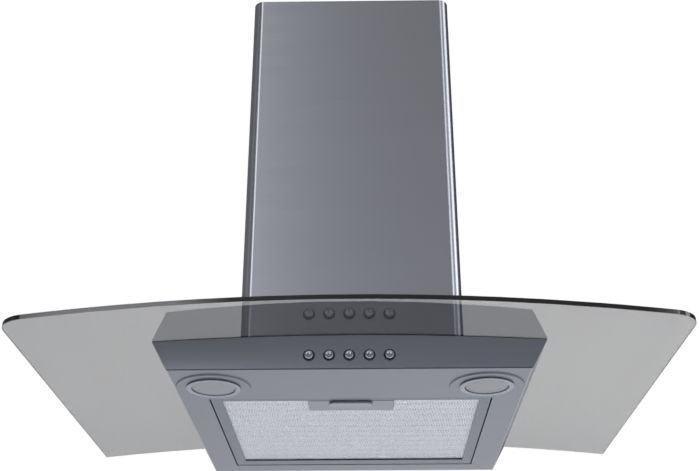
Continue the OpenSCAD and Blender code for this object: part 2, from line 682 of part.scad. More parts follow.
module motor_body() color(dark_steel) hood() difference() {
    union() {
        translate([0, fan_y, fan_z]) rod_x(motor_r, motor_x0, motor_x1);
        for (a = [90, 210, 330]) translate([0, fan_y, fan_z]) rotate([a, 0, 0])
            block(motor_x1 - 3, motor_x1, motor_r - 6, motor_ear_r + 2, -6, 6);
    }
    translate([0, fan_y, fan_z]) {
        rod_x(rotor_r + 0.6, motor_x0 - 1, motor_x1 - bearing_l - 2);
        rod_x(bearing_r + 0.02, motor_x0 - 1, motor_x1 + 1);
    }
    at_motor_screws() rod_x(2 + slip, motor_x1 - 5, motor_x1 + 5);
}
module motor_end_cap() color(zinc) hood() translate([0, fan_y, fan_z]) difference() {
    union() {
        rod_x(motor_r, motor_x0 - cap_t, motor_x0);
        rod_x(rotor_r - 1, motor_x0 - cap_t, motor_x0 + 3);
    }
    rod_x(bearing_r + 0.02, motor_x0 - cap_t - 1, motor_x0 + 4);
}
module motor_bearings() color("#B08D57") hood() translate([0, fan_y, fan_z]) difference() {
    union() {
        rod_x(bearing_r, motor_x1 - bearing_l, motor_x1);
        rod_x(bearing_r, motor_x0 - cap_t, motor_x0 - cap_t + bearing_l);
    }
    rod_x(shaft_r + touch, motor_x0 - 20, motor_x1 + 1);
}
module motor_rotor() color(zinc) hood() translate([0, fan_y, fan_z]) difference() {
    rod_x(rotor_r, motor_x0 + 4, motor_x1 - bearing_l - 3);
    rod_x(shaft_r + 0.02, motor_x0, motor_x1);
}
module motor_shaft() color(chrome) hood() translate([0, fan_y, fan_z])
    rod_x(shaft_r, motor_x0 - cap_t - 1, -impeller_w / 2 + 19);
// Each screw stands on a rubber bush between the motor's ear and the scroll
module motor_screws() color(zinc) hood() at_motor_screws() {
    translate([motor_x1 - 3, 0, 0]) rotate([0, -90, 0]) pan_screw(2, motor_gap + 3 + scroll_t + 2, 4, 2.5);
    difference() {
        rod_x(5, motor_x1 + 0.05, -scroll_x - 0.05);
        rod_x(2.1, motor_x1, -scroll_x);
    }
}

// ---- Outlet collar and damper ----
module outlet_collar() color(plastic) hood() translate([0, outlet_y, 0]) difference() {
    union() {
        rod_z(collar_r + 12, collar_z, collar_z + collar_flange_t);
        rod_z(collar_r, collar_z, collar_z + collar_flange_t + collar_l);
    }
    rod_z(collar_r - collar_wall, flap_z - flap_t / 2 - 0.3, collar_z + 100);
    rod_z(collar_r - collar_wall - 2, collar_z - 1, collar_z + 100);
    for (s = [-1, 1]) translate([s * flap_x, 0, flap_z]) {
        rod_y(pin_r + touch, -collar_r - 5, collar_r + 5);
        rod_y(barrel_r + 0.4, -collar_r + collar_wall + 0.6, collar_r - collar_wall - 0.6);
    }
}
module damper_flap(side) color(plastic) hood() translate([0, outlet_y, flap_z]) difference() {
    reach = collar_r - collar_wall - 1.2;
    union() {
        translate([side * flap_x, 0, 0]) rod_y(barrel_r, -reach + 2, reach - 2);
        intersection() {
            rod_z(reach, -flap_t / 2, flap_t / 2);
            translate([side > 0 ? flap_x : -flap_x - 100, -100, -5]) cube([100, 200, 10]);
        }
    }
    translate([side * flap_x, 0, 0]) rod_y(pin_r + slip, -100, 100);
}
module damper_pins() color(zinc) hood() for (s = [-1, 1]) translate([s * flap_x, outlet_y, flap_z])
    rod_y(pin_r, -collar_r + 1, collar_r - 1);

// ---- Electrical inlet ----
module terminal_box() color(plastic) hood() difference() {
    block(blower_x + touch, blower_x + term_w, term_y - term_half, term_y + term_half, term_z0,
        term_z0 + term_h);
    block(blower_x + 2, blower_x + term_w - 2, term_y - term_half + 2, term_y + term_half - 2,
        term_z0 + 2, term_z0 + term_h - 2);
    translate([blower_x + term_w / 2, term_y, 0]) rod_z(gland_r + 2, term_z0 + term_h - 5,
        term_z0 + term_h + 5);
}
module cable_gland() color(black) hood() translate([blower_x + term_w / 2, term_y, term_z0 + term_h])
    difference() {
    union() {
        rod_z(gland_r + 1.95, -4, 1);
        translate([0, 0, touch]) cylinder(r = gland_r + 4, h = 5, $fn = 6);
        rod_z(gland_r + 2.5, 4, gland_l - 4);
    }
    rod_z(gland_r, -5, gland_l);
}

// ---- Flue ----
// A channel that is open at the back, with turned-in rear edges
module flue_channel(half, front, back, corner, z0, z1, return_top) {
    module outline(in) difference() {
        translate([-half + in, front + in]) square([2 * (half - in), back - front - in]);
        for (s = [-1, 1]) difference() {
            translate([s * (half - corner) - (s < 0 ? corner + 1 : 0), front - 1]) square(corner + 1);
            translate([s * (half - corner), front + corner]) circle(r = corner - in);
        }
    }
    difference() {
        translate([0, 0, z0]) linear_extrude(z1 - z0) outline(0);
        translate([0, 0, z0 - 1]) linear_extrude(z1 - z0 + 2) outline(sheet);
        block(-half + sheet, half - sheet, back - sheet, back + 1, z0 - 1, z1 + 1);
    }
    for (s = [-1, 1]) translate([s * (half - return_w / 2), 0, 0])
        block(-return_w / 2, return_w / 2, back - sheet, back, z0, return_top);
}
module flue_lower() color(steel) hood() difference() {
    flue_channel(flue_w / 2, -flue_d, -0.2, flue_corner_r, -20, flue_h, flue_h - 50);
    translate([0, 20, -bend_r]) rotate([90, 0, 0]) cylinder(r = flue_foot, h = glass_d + 40, $fn = round_fn);
}
module flue_upper() color(steel) hood() {
    in = sheet + nest_gap;
    flue_channel(flue_w / 2 - in, -flue_d + in, -0.2 - sheet - nest_gap, flue_corner_r - in, upper_z0,
        upper_z0 + upper_h,
        upper_z0 + upper_h - 40);
}

// ---- Wall bracket ----
module wall_bracket() color(zinc) hood() difference() {
    union() {
        block(-bracket_half, bracket_half, -bracket_t, 0, bracket_z0, bracket_z1);
        for (s = [-1, 1]) translate([s * hook_x, 0, 0]) {
            block(-hook_w / 2, hook_w / 2, blower_y1 - sheet + 0.5 - hook_in - 1.5, -bracket_t + 0.1,
                bracket_z1 - bracket_t, bracket_z1);
            block(-hook_w / 2, hook_w / 2, blower_y1 - sheet + 0.5 - hook_in - 1.5, blower_y1 - sheet - 0.5,
                bracket_z1 - 0.1, bracket_z1 + hook_up - 2);
        }
    }
    for (x = [-1, 1] * wall_pitch_x / 2) for (z = [-1, 1] * wall_pitch_z / 2)
        translate([x, 0, bracket_z + z]) rod_y(wall_hole_r, -bracket_t - 1, 1);
}

canopy_glass();
glass_gasket();
glass_screws();
glass_grommets();
glass_nuts();
canopy_shell();
front_fascia();
fascia_nuts();
underside_panel();
switch_housing();
switch_board();
button_rings();
button(1);  // button_1
button(2);  // button_2
button(3);  // button_3
button(4);  // button_4
button(5);  // button_5
button_spring(1);  // button_spring_1
button_spring(2);  // button_spring_2
button_spring(3);  // button_spring_3
button_spring(4);  // button_spring_4
button_spring(5);  // button_spring_5
filter_frame();
filter_mesh_lower();
filter_mesh_core();
filter_mesh_upper();
filter_latch_plate();
filter_latch();
latch_springs();
lamp_bezel(-1);  // lamp_bezel_left
lamp_bezel(1);  // lamp_bezel_right
lamp_lens(-1);  // lamp_lens_left
lamp_lens(1);  // lamp_lens_right
lamp_reflector(-1);  // lamp_reflector_left
lamp_reflector(1);  // lamp_reflector_right
lamp_bulb(-1);  // lamp_bulb_left
lamp_bulb(1);  // lamp_bulb_right
lamp_holder(-1);  // lamp_holder_left
lamp_holder(1);  // lamp_holder_right
blower_box();
blower_screws();
scroll_left();
scroll_right();
inlet_ring();
impeller();
motor_body();
motor_end_cap();
motor_rotor();
motor_shaft();
motor_bearings();
motor_screws();
outlet_collar();
damper_flap(-1);  // damper_flap_left
damper_flap(1);  // damper_flap_right
damper_pins();
terminal_box();
cable_gland();
flue_lower();
flue_upper();
wall_bracket();
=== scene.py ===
"""Looks of a wall-mounted chimney range hood with a curved glass canopy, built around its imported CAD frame."""

import math

import bmesh
import bpy
from bpy.props import FloatProperty, FloatVectorProperty, PointerProperty
from mathutils import Matrix, Vector


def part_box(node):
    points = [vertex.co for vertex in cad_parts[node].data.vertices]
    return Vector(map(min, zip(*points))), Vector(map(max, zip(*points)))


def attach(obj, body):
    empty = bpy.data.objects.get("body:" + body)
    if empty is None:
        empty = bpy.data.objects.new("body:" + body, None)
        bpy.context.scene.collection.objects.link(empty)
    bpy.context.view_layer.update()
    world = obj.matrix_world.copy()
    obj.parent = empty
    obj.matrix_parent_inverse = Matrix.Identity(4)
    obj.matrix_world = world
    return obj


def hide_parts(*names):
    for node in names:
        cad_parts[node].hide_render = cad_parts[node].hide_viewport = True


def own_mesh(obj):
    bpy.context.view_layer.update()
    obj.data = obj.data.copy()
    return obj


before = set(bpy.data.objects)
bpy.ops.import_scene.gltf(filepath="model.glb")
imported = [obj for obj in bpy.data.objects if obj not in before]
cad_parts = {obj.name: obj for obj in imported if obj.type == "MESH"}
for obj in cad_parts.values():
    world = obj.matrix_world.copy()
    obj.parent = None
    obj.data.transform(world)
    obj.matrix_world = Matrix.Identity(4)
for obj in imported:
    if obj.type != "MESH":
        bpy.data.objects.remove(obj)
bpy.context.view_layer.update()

bl_info = {
    "name": "Chimney range hood",
    "version": (1, 0, 0),
    "blender": (4, 5, 0),
    "location": "3D View > Sidebar > Range hood",
    "description": "Finishes and fine detail for a wall-mounted range hood with a curved glass canopy",
    "category": "Object",
}

MM = 0.001


def linear(hex_code):
    """An sRGB hex colour as linear RGBA."""
    parts = [int(hex_code[i:i + 2], 16) / 255 for i in (1, 3, 5)]
    return tuple(c / 12.92 if c <= 0.04045 else ((c + 0.055) / 1.055) ** 2.4 for c in parts) + (1.0,)


def length_property(name, description, default_mm, top_mm):
    """A length that is typed in millimetres here and kept in metres."""
    return FloatProperty(name=name, description=description, default=default_mm * MM, min=0.0, max=top_mm * MM,
                         subtype="DISTANCE", unit="LENGTH", precision=5)


def colour_property(name, description, hex_code):
    """A colour whose default is an sRGB hex value."""
    return FloatVectorProperty(name=name, description=description, default=linear(hex_code), size=4, min=0.0,
                               max=1.0, subtype="COLOR")


class HoodSizes(bpy.types.PropertyGroup):
    """Small shapes that the CAD model leaves square or flat."""

    glass_edge: length_property("Glass edge", "Width of the ground and polished chamfer round the glass", 0.8, 2)
    fold: length_property("Sheet fold", "Rounding of the folded edges of the steel sheet", 0.35, 1)
    plastic_edge: length_property("Moulded edge", "Rounding of the edges of moulded pieces", 0.5, 1)
    button_dome: length_property("Button crown", "Height of the rounded crown of a button", 1.6, 3)
    mesh_long: length_property("Mesh length", "Long way of one opening in the expanded mesh", 22.0, 30)
    mesh_short: length_property("Mesh width", "Short way of one opening in the expanded mesh", 3.2, 10)
    mesh_strand: length_property("Mesh strand", "Width of the strands of the expanded mesh", 0.85, 2)
    lens_dome: length_property("Lamp glass dome", "How far the lamp glass bulges down", 0.8, 3)


class HoodColours(bpy.types.PropertyGroup):
    """Colours of the finishes that show most."""

    glass: colour_property("Glass", "Tint in the body of the smoked glass", "#8A8B8E")
    flue: colour_property("Flue steel", "Brushed stainless steel of the flue", "#BCBEC3")
    # The same stainless steel as the flue, drawn darker on the control panel and shell and darkest on the underside:
    # painted shade.
    fascia: colour_property("Fascia steel", "Brushed stainless steel of the control panel", "#9598A0")
    panel: colour_property("Underside steel", "Brushed stainless steel of the underside", "#6D7079")
    mesh: colour_property("Filter mesh", "Bare aluminium of the grease filter's mesh", "#E6E8EF")
    # The frame's aluminium is drawn far darker than the mesh's: painted shade.
    filter_frame: colour_property("Filter frame", "Mill-finish aluminium of the grease filter's frame", "#5E636D")
    plastic: colour_property("Black plastic", "Moulded pieces inside the hood", "#1E2022")
    floor: colour_property("Floor", "Plain pale floor under the hood", "#E9E9E8")


# ---------------------------------------------------------------- materials
def add_node(tree, kind, inputs=None, **settings):
    """A node with its settings, and its inputs set or linked."""
    made = tree.nodes.new(kind)
    for name, value in settings.items():
        setattr(made, name, value)
    for name, value in (inputs or {}).items():
        if isinstance(value, bpy.types.NodeSocket):
            tree.links.new(value, made.inputs[name])
        else:
            made.inputs[name].default_value = value
    return made


def new_material(name, **inputs):
    """A material with one Principled shader: the material, its tree, the shader and object coordinates."""
    material = bpy.data.materials.new(name)
    material.use_nodes = True
    tree = material.node_tree
    tree.nodes.clear()
    shader = add_node(tree, "ShaderNodeBsdfPrincipled", {k.replace("_", " "): v for k, v in inputs.items()})
    add_node(tree, "ShaderNodeOutputMaterial", {"Surface": shader.outputs[0]})
    place = add_node(tree, "ShaderNodeTexCoord").outputs["Object"]
    return material, tree, shader, place


def noise(tree, place, size_mm, detail=3.0, roughness=0.6):
    """Noise whose features have the given sizes in millimetres along X, Y and Z."""
    scaled = add_node(tree, "ShaderNodeMapping", {"Vector": place, "Scale": [1 / (s * MM) for s in size_mm]})
    return add_node(tree, "ShaderNodeTexNoise", {"Vector": scaled.outputs[0], "Scale": 1.0, "Detail": detail,
                                                 "Roughness": roughness}).outputs["Fac"]


def vary(tree, shader, fac, colours=None, rough=None, bump=0.0, height_mm=0.05):
    """Lets a pattern change the colour and roughness of a shader, and raise its surface."""
    if colours:
        shades = add_node(tree, "ShaderNodeMix", {0: fac, 6: colours[0], 7: colours[1]}, data_type="RGBA")
        tree.links.new(shades.outputs[2], shader.inputs["Base Color"])
    if rough:
        gloss = add_node(tree, "ShaderNodeMapRange", {"Value": fac, "From Min": 0.25, "From Max": 0.75,
                                                      "To Min": rough[0], "To Max": rough[1]})
        tree.links.new(gloss.outputs[0], shader.inputs["Roughness"])
    if bump:
        raised = add_node(tree, "ShaderNodeBump", {"Height": fac, "Strength": bump, "Distance": height_mm * MM})
        tree.links.new(raised.outputs[0], shader.inputs["Normal"])


def shade(colour, factor):
    """A colour made lighter or darker by a factor, in linear light."""
    return [min(1.0, c * factor) for c in colour[:3]] + [1.0]


def brushed_stainless(name, colour, across, spread=0.1, rough=(0.27, 0.37)):
    """Stainless steel sheet ground with a belt: long fine streaks one way, and highlights drawn out across them.
    A belt leaves lines 0.1 to 0.3 mm apart, drawn here at 0.9 mm so that they show."""
    material, tree, shader, place = new_material(name, Metallic=1.0)
    size = [160.0, 160.0, 160.0]
    size["XYZ".index(across)] = 0.9
    streaks = noise(tree, place, size, 4.0, 0.75)
    vary(tree, shader, streaks, (shade(colour, 1 - spread), shade(colour, 1 + spread)), rough, 0.10, 0.02)
    return material


def rolled_metal(name, colour, rough, grain_mm=3.0, spread=0.08, bump=0.05):
    """Bare or plated metal with the faint mottling that rolling, pressing and handling leave."""
    material, tree, shader, place = new_material(name, Metallic=1.0)
    mottle = noise(tree, place, [grain_mm] * 3)
    vary(tree, shader, mottle, (shade(colour, 1 - spread), shade(colour, 1 + spread)), rough, bump, 0.02)
    return material


def galvanised_sheet(name, colour):
    """Hot-dip galvanised steel: flat zinc crystals some 12 mm across, each with its own shade and gloss."""
    material, tree, shader, place = new_material(name, Metallic=1.0)
    crystals = add_node(tree, "ShaderNodeTexVoronoi", {"Vector": place, "Scale": 1 / (12 * MM)})
    own = add_node(tree, "ShaderNodeSeparateColor", {"Color": crystals.outputs["Color"]}).outputs[0]
    vary(tree, shader, own, (shade(colour, 0.8), shade(colour, 1.15)), (0.32, 0.5), 0.04, 0.02)
    return material


def moulded_plastic(name, colour, rough=(0.4, 0.52), grain_mm=0.8):
    """Moulded ABS or polyamide: the fine grain of a spark-eroded mould keeps its gloss low."""
    material, tree, shader, place = new_material(name, IOR=1.54)
    grain = noise(tree, place, [grain_mm] * 3, 2.0)
    vary(tree, shader, grain, (shade(colour, 0.9), shade(colour, 1.15)), rough, 0.15, 0.05)
    return material


def matt_rubber(name, colour):
    """Moulded rubber or closed-cell foam: matt all over, with small pits."""
    material, tree, shader, place = new_material(name, IOR=1.52)
    pits = noise(tree, place, [1.2] * 3)
    vary(tree, shader, pits, (shade(colour, 0.8), shade(colour, 1.3)), (0.75, 0.9), 0.3, 0.1)
    return material


def smoked_float_glass(name, colour):
    """Grey float glass, bent and tempered: the tint is in its body, so its edges look nearly black,
    and tempering leaves long shallow waves that bend reflections a little. Its index is set above the 1.52 of
    plain float glass, so that it mirrors as strongly as a pane with a reflective coat."""
    material, tree, shader, place = new_material(name, Base_Color=(1, 1, 1, 1), Roughness=0.0, IOR=1.8,
                                                 Transmission_Weight=1.0)
    output = next(n for n in tree.nodes if n.type == "OUTPUT_MATERIAL")
    tint = add_node(tree, "ShaderNodeVolumeAbsorption", {"Color": colour, "Density": 305.0})
    tree.links.new(tint.outputs[0], output.inputs["Volume"])
    vary(tree, shader, noise(tree, place, [70.0, 240.0, 70.0], 1.0), None, None, 0.015, 0.1)
    return material


def frosted_lamp_glass(name, colour):
    """Pressed glass, etched on its inner face: it scatters light, and the outer face keeps a soft gloss."""
    material, tree, shader, place = new_material(name, IOR=1.5, Transmission_Weight=0.3, Coat_Weight=0.5,
                                                 Coat_Roughness=0.12)
    etched = noise(tree, place, [0.8] * 3, 2.0)
    vary(tree, shader, etched, (shade(colour, 0.94), shade(colour, 1.04)), (0.5, 0.62), 0.1, 0.04)
    return material


def quartz_glass(name):
    """Clear quartz of a halogen capsule, a little wavy where it was pinched."""
    material, tree, shader, place = new_material(name, Base_Color=linear("#F3F2EE"), IOR=1.46,
                                                 Transmission_Weight=1.0)
    vary(tree, shader, noise(tree, place, [4.0] * 3), None, (0.02, 0.08), 0.05, 0.05)
    return material


def steatite(name, colour):
    """Unglazed steatite of a lamp holder: off-white, dry and slightly pitted."""
    material, tree, shader, place = new_material(name, IOR=1.55)
    pits = noise(tree, place, [1.0] * 3)
    vary(tree, shader, pits, (shade(colour, 0.92), shade(colour, 1.02)), (0.55, 0.7), 0.2, 0.06)
    return material


def lacquered_board(name):
    """Glass-fibre circuit board under green solder lacquer, with the copper tracks showing as lighter lines."""
    material, tree, shader, place = new_material(name, IOR=1.5, Coat_Weight=0.4, Coat_Roughness=0.15)
    scaled = add_node(tree, "ShaderNodeMapping", {"Vector": place, "Scale": (1 / (4 * MM), 1.0, 1 / (2.5 * MM))})
    tracks = add_node(tree, "ShaderNodeTexVoronoi", {"Vector": scaled.outputs[0], "Scale": 1.0},
                      distance="MANHATTAN").outputs["Distance"]
    vary(tree, shader, tracks, (linear("#1D4A2C"), linear("#2F6B3F")), (0.3, 0.4), 0.1, 0.05)
    return material


def knitted_wire(name, colour):
    """Layers of knitted aluminium wire in the filter's core: loops about 3 mm across, drawn as bright wires over gaps
    darkened with painted shade."""
    material, tree, shader, place = new_material(name, Metallic=0.9)
    loops = add_node(tree, "ShaderNodeTexVoronoi", {"Vector": place, "Scale": 1 / (3 * MM)},
                     feature="DISTANCE_TO_EDGE").outputs["Distance"]
    wires = add_node(tree, "ShaderNodeMapRange", {"Value": loops, "From Min": 0.02, "From Max": 0.14,
                                                  "To Min": 1.0, "To Max": 0.0}).outputs[0]
    # The gaps between the wires take 0.55 of the colour: painted shade between the layers.
    vary(tree, shader, wires, (shade(colour, 0.55), shade(colour, 1.0)), (0.5, 0.35), 0.6, 0.5)
    return material


def painted_floor(name, colour):
    """Matt painted studio floor: even, with a very faint roller texture."""
    material, tree, shader, place = new_material(name, IOR=1.5)
    roller = noise(tree, place, [3.0] * 3)
    vary(tree, shader, roller, (shade(colour, 0.985), shade(colour, 1.0)), (0.8, 0.9), 0.05, 0.05)
    return material


FINISHES = {}


def finish(name, make=None, *args, **settings):
    """The material of that name, made once."""
    if name not in FINISHES:
        FINISHES[name] = make(name, *args, **settings)
    return FINISHES[name]


# ---------------------------------------------------------------- modelling
def only(piece):
    """Selects one object alone and makes it active."""
    bpy.ops.object.select_all(action="DESELECT")
    piece.select_set(True)
    bpy.context.view_layer.objects.active = piece


def start_edit():
    """Goes into edit mode with nothing selected."""
    bpy.ops.object.mode_set(mode="EDIT")
    bpy.ops.mesh.select_mode(type="FACE")
    bpy.ops.mesh.select_all(action="DESELECT")


def end_edit():
    """Goes back to object mode."""
    bpy.ops.object.mode_set(mode="OBJECT")


def pick_faces(test):
    """In edit mode, selects only the faces whose middle and normal pass a test."""
    mesh = bpy.context.object.data
    work = bmesh.from_edit_mesh(mesh)
    bpy.ops.mesh.select_mode(type="FACE")
    bpy.ops.mesh.select_all(action="DESELECT")
    picked = [f for f in work.faces if test(f.calc_center_median(), f.normal)]
    if not picked:
        raise RuntimeError("no face passed the test")
    for face in picked:
        face.select_set(True)
    bmesh.update_edit_mesh(mesh)


def apply_modifier(piece, kind, **settings):
    """Adds a modifier with its settings and applies it."""
    only(piece)
    made = piece.modifiers.new(kind.lower(), kind)
    for name, value in settings.items():
        setattr(made, name, value)
    bpy.ops.object.modifier_apply(modifier=made.name)


def smooth(piece, degrees=35.0):
    """Smooth shading across edges that turn by less than an angle."""
    only(piece)
    bpy.ops.object.shade_smooth_by_angle(angle=math.radians(degrees))


def fit_out(piece, name, material, body, slot, *nodes):
    """Names, paints and places a finished piece: its place goes into its mesh, and it rides on its body."""
    only(piece)
    bpy.ops.object.transform_apply(location=True, rotation=True, scale=True)
    piece.name = piece.data.name = name
    piece.data.materials.clear()
    piece.data.materials.append(material)
    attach(piece, body)
    if nodes:
        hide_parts(*nodes)
    return piece


def copied(piece, shift):
    """A copy of a piece with its own mesh, moved by a vector."""
    twin = piece.copy()
    twin.data = piece.data.copy()
    bpy.context.scene.collection.objects.link(twin)
    twin.data.transform(Matrix.Translation(shift))
    return twin


def refined(node, name, material, body, slot, edge=0.0, degrees=32.0, segments=2):
    """Stands for a CAD node: a copy with its triangles merged, its edges rounded and its curves smooth."""
    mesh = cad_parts[node].data.copy()
    piece = bpy.data.objects.new(name, mesh)
    bpy.context.scene.collection.objects.link(piece)
    only(piece)
    bpy.ops.mesh.customdata_custom_splitnormals_clear()
    start_edit()
    bpy.ops.mesh.select_all(action="SELECT")
    bpy.ops.mesh.remove_doubles(threshold=0.002 * MM)
    bpy.ops.mesh.dissolve_limited(angle_limit=math.radians(0.6))
    end_edit()
    if edge:
        apply_modifier(piece, "BEVEL", width=edge, segments=segments, limit_method="ANGLE",
                       angle_limit=math.radians(degrees))
    smooth(piece, degrees)
    if edge:
        apply_modifier(piece, "WEIGHTED_NORMAL", mode="FACE_AREA", weight=50, keep_sharp=True)
    return fit_out(piece, name, material, body, slot, node)


def coil_spring(node, name, body):
    """Stands for a CAD spring that pushes forwards."""
    wire = finish("hardened spring steel", rolled_metal, linear("#9EA0A2"), (0.2, 0.32), 0.8, 0.12)
    piece = refined(node, name, wire, body, "spring_steel")
    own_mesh(piece)


def paint(material, *nodes):
    """Gives CAD nodes whose shape is right their finish."""
    for node in nodes:
        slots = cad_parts[node].data.materials
        slots.clear()
        slots.append(material)


def turned(name, profile, sides=64):
    """A turned piece about the Z line through the origin: a circle is extruded and resized from one profile
    point to the next. Each point is (radius, height) in metres. A profile that ends where it began is a ring,
    and one that ends on the line is closed there."""
    radius, height = profile[0]
    bpy.ops.object.select_all(action="DESELECT")
    bpy.ops.mesh.primitive_circle_add(vertices=sides, radius=radius, location=(0, 0, 0))
    piece = bpy.context.object
    bpy.ops.object.mode_set(mode="EDIT")
    bpy.ops.mesh.select_mode(type="VERT")
    bpy.ops.mesh.select_all(action="SELECT")
    bpy.ops.transform.translate(value=(0, 0, height))
    for next_radius, next_height in profile[1:]:
        bpy.ops.mesh.extrude_region_move(TRANSFORM_OT_translate={"value": (0, 0, next_height - height)})
        grown = max(next_radius, 1e-7) / radius
        bpy.ops.transform.resize(value=(grown, grown, 1.0), center_override=(0, 0, 0))
        radius, height = max(next_radius, 1e-7), next_height
    bpy.ops.mesh.select_all(action="SELECT")
    bpy.ops.mesh.remove_doubles(threshold=0.002 * MM)
    bpy.ops.mesh.normals_make_consistent(inside=False)
    end_edit()
    piece.name = piece.data.name = name
    return piece


def colours():
    """The scene's hood colours."""
    return bpy.context.scene.hood_colours


def sizes():
    """The scene's hood sizes."""
    return bpy.context.scene.hood_sizes


# ---------------------------------------------------------------- pieces
class HOOD_OT_glass(bpy.types.Operator):
    """The curved glass canopy with its gasket, grommets, screws and nuts"""

    bl_idname = "hood.glass"
    bl_label = "Glass canopy"

    def execute(self, context):
        refined("canopy_glass", "glass_canopy_sheet", finish("smoked float glass", smoked_float_glass,
                colours().glass), "canopy", "smoke_glass", sizes().glass_edge, 20.0, 2)
        paint(finish("closed-cell foam", matt_rubber, linear("#17181A")), "glass_gasket")
        paint(finish("moulded rubber", matt_rubber, linear("#1B1B1C")), "glass_grommets")
        paint(finish("chromed steel", rolled_metal, linear("#C9CCD0"), (0.10, 0.2), 2.0, 0.04), "glass_screws")
        paint(finish("zinc-plated steel", rolled_metal, linear("#B4B6B4"), (0.28, 0.42), 3.0, 0.1), "glass_nuts",
              "fascia_nuts")
        return {"FINISHED"}


class HOOD_OT_body(bpy.types.Operator):
    """The folded steel body: shell, control panel and underside"""

    bl_idname = "hood.body"
    bl_label = "Steel body"

    def execute(self, context):
        fold = sizes().fold
        # The control panel, shell and underside get darker copies of the flue's steel colour: painted shade.
        refined("front_fascia", "fascia_sheet", finish("brushed stainless, control panel", brushed_stainless,
                colours().fascia, "Z", 0.07), "canopy", "brushed_steel_fascia", fold)
        under = finish("brushed stainless, underside", brushed_stainless, colours().panel, "Y", 0.06, (0.3, 0.4))
        refined("underside_panel", "underside_sheet", under, "canopy", "brushed_steel_panel", fold, 25.0)
        shell = finish("brushed stainless, shell", brushed_stainless, colours().fascia, "Z", 0.08)
        refined("canopy_shell", "shell_sheet", shell, "canopy", "brushed_steel_body", fold)
        return {"FINISHED"}


class HOOD_OT_buttons(bpy.types.Operator):
    """Five chrome push buttons with dished crowns, each in a dark rim, with the switches behind them"""

    bl_idname = "hood.buttons"
    bl_label = "Push buttons"

    def execute(self, context):
        dome = sizes().button_dome
        chrome = finish("chrome-plated ABS", rolled_metal, linear("#A4A7AD"), (0.05, 0.1), 1.5, 0.03, 0.03)
        rim = finish("black ABS, polished", moulded_plastic, linear("#36393D"), (0.2, 0.3), 0.6)
        low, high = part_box("button_1")
        radius, length = (high.x - low.x) / 2, high.y - low.y
        cap = self.cap(radius, dome, length)
        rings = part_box("button_rings")
        collar = self.rim((rings[1].z - rings[0].z) / 2, radius, rings[1].y - rings[0].y)
        for number in range(1, 6):
            node = f"button_{number}"
            low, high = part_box(node)
            front = Vector(((low.x + high.x) / 2, low.y, (low.z + high.z) / 2))
            piece = copied(cap, front)
            smooth(piece, 40)
            fit_out(piece, f"button_cap_{number}", chrome, node, "button_chrome", node)
            piece = copied(collar, Vector((front.x, rings[0].y, front.z)))
            smooth(piece, 40)
            fit_out(piece, f"button_rim_{number}", rim, "canopy", "black_plastic", "button_rings")
        bpy.data.objects.remove(cap)
        bpy.data.objects.remove(collar)
        paint(finish("black polyamide", moulded_plastic, colours().plastic), "switch_housing")
        paint(finish("circuit board", lacquered_board), "switch_board")
        for number in range(1, 6):
            coil_spring(f"button_spring_{number}", f"switch_spring_{number}", "canopy")
        return {"FINISHED"}

    def cap(self, radius, dome, length):
        """A button turned about its axis: a rounded lip round a dished middle, and a stem towards +Y."""
        lip = radius * 0.72
        crown = [(lip + (radius - lip) * math.cos(a), dome * (1 - math.sin(a))) for a in
                 [math.radians(18 * i) for i in range(1, 6)]]
        crown += [(lip * math.cos(a), dome * 0.5 * math.sin(a) ** 2) for a in
                  [math.radians(15 * i) for i in range(1, 6)]]
        stem = radius * 0.45
        shoulder = length * 0.34
        profile = [(1e-6, length), (stem - 0.3 * MM, length), (stem, length - 0.3 * MM), (stem, shoulder),
                   (radius * 0.9, shoulder), (radius, shoulder - 0.4 * MM), (radius, dome)]
        profile += crown + [(0, dome * 0.5)]
        piece = turned("cap", profile, 48)
        piece.rotation_euler = (-math.pi / 2, 0, 0)
        only(piece)
        bpy.ops.object.transform_apply(location=True, rotation=True, scale=True)
        return piece

    def rim(self, outer, inner, depth):
        """The dark rim round a button: a turned ring with a rounded lip, its front at the origin."""
        lip = 0.9 * MM
        gap = inner + 0.12 * MM
        arc = [(outer - lip / 2 + lip / 2 * math.cos(a), 0.45 * MM - 0.45 * MM * math.sin(a)) for a in
               [math.radians(15 * i) for i in range(0, 13)]]
        back = outer - 0.55 * MM
        profile = [(back, depth), (back, 0.85 * MM), (outer, 0.85 * MM)] + arc + [(gap, 0.8 * MM), (gap, depth),
                                                                                 (back, depth)]
        piece = turned("rim", profile, 48)
        piece.rotation_euler = (-math.pi / 2, 0, 0)
        only(piece)
        bpy.ops.object.transform_apply(location=True, rotation=True, scale=True)
        return piece


